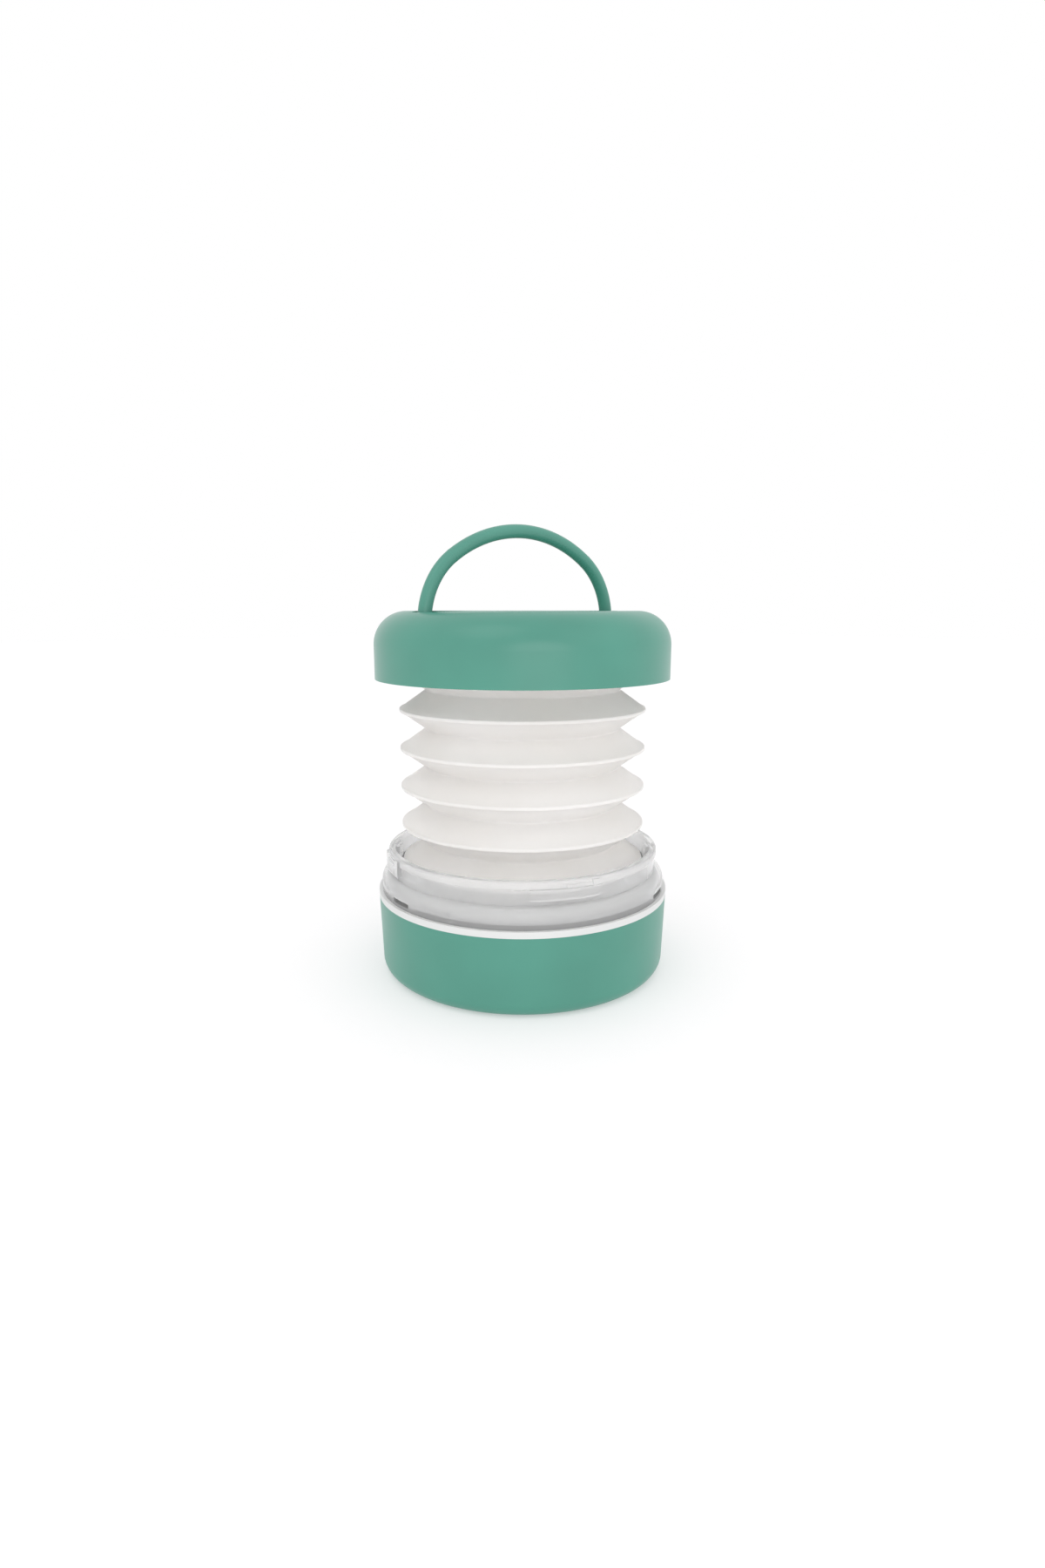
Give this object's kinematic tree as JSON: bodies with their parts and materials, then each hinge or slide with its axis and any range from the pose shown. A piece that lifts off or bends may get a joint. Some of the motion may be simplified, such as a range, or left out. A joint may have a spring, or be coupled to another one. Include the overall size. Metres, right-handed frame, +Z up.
{
  "type": "camping lantern",
  "caption": "Collapsible pop-up lantern: round battery base, clear bayonet collar, folding translucent bellows shade, and a cap with a bail handle.",
  "frame": {"origin": "centre of the foot ring's underside, on the axis of the lantern", "axes": "+Z up along the lantern's axis, +X along the bail's pivot axis, -Y the side the bail folds to and the side of the power button"},
  "size_m": [0.0868, 0.0868, 0.1299],
  "materials": {
    "green_shell": "satin moulded plastic, sea green",
    "green_cap": "satin moulded plastic, sea green",
    "green_bail": "satin moulded plastic, sea green",
    "green_door": "satin moulded plastic, sea green",
    "white_plastic": "satin white moulded plastic",
    "clear_plastic": "clear glossy moulded plastic",
    "frosted_plastic": "frosted diffuser plastic",
    "silicone": "translucent warm-white silicone, matt",
    "button_rubber": "soft-touch green",
    "zinc_steel": "zinc-plated steel",
    "nickel_spring": "nickel-plated spring steel",
    "cell_case": "printed battery sleeve, no lettering",
    "circuit_board": "white solder mask",
    "switch_board_green": "green solder mask",
    "led_phosphor": "yellow phosphor in a white package",
    "black_component": "moulded black",
    "red_insulation": "red insulation",
    "black_insulation": "black insulation"
  },
  "bodies": {
    "base": {"base_shell": "green_shell", "deck_plate": "white_plastic", "clear_collar": "clear_plastic", "bellows": "silicone", "lower_clamp_ring": "white_plastic", "lower_clamp_screws": "zinc_steel", "led_board": "circuit_board", "leds": "led_phosphor", "board_parts": "black_component", "diffuser_dome": "frosted_plastic", "battery_1": "cell_case", "battery_2": "cell_case", "battery_3": "cell_case", "contact_link_left": "nickel_spring", "contact_link_right": "nickel_spring", "contact_positive": "nickel_spring", "contact_negative": "nickel_spring", "contact_springs": "nickel_spring", "wire_positive": "red_insulation", "wire_switched": "red_insulation", "wire_negative": "black_insulation", "switch_body": "black_component", "switch_board": "switch_board_green", "switch_board_screws": "zinc_steel", "base_screws": "zinc_steel"},
    "bellows_head": {"swivel_plate": "white_plastic", "top_clamp_ring": "white_plastic", "top_clamp_screws": "zinc_steel"},
    "cap": {"cap_shell": "green_cap", "pivot_washer": "zinc_steel", "pivot_screw": "zinc_steel"},
    "bail": {"handle": "green_bail"},
    "button": {"power_button": "button_rubber"},
    "door": {"battery_door": "green_door"}
  },
  "joints": [
    {"name": "cap_slide", "type": "slide", "parent": "base", "child": "bellows_head", "axis": [0, 0, 1], "range_m": [-0.0565, 0], "deforming": ["bellows"]},
    {"name": "cap_twist", "type": "hinge", "parent": "bellows_head", "child": "cap", "pos_m": [0, 0, 0.098], "axis": [0, 0, 1], "range_deg": [-12, 0]},
    {"name": "handle_fold", "type": "hinge", "parent": "cap", "child": "bail", "pos_m": [0, 0, 0.1029], "axis": [1, 0, 0], "range_deg": [0, 90]},
    {"name": "power_button_press", "type": "slide", "parent": "base", "child": "button", "axis": [0, 0, 1], "range_m": [0, 0.0012], "stiffness_N_per_m": 400},
    {"name": "battery_door_hinge", "type": "hinge", "parent": "base", "child": "door", "pos_m": [0, 0.0174, 0.0023], "axis": [1, 0, 0], "range_deg": [0, 90]}
  ]
}
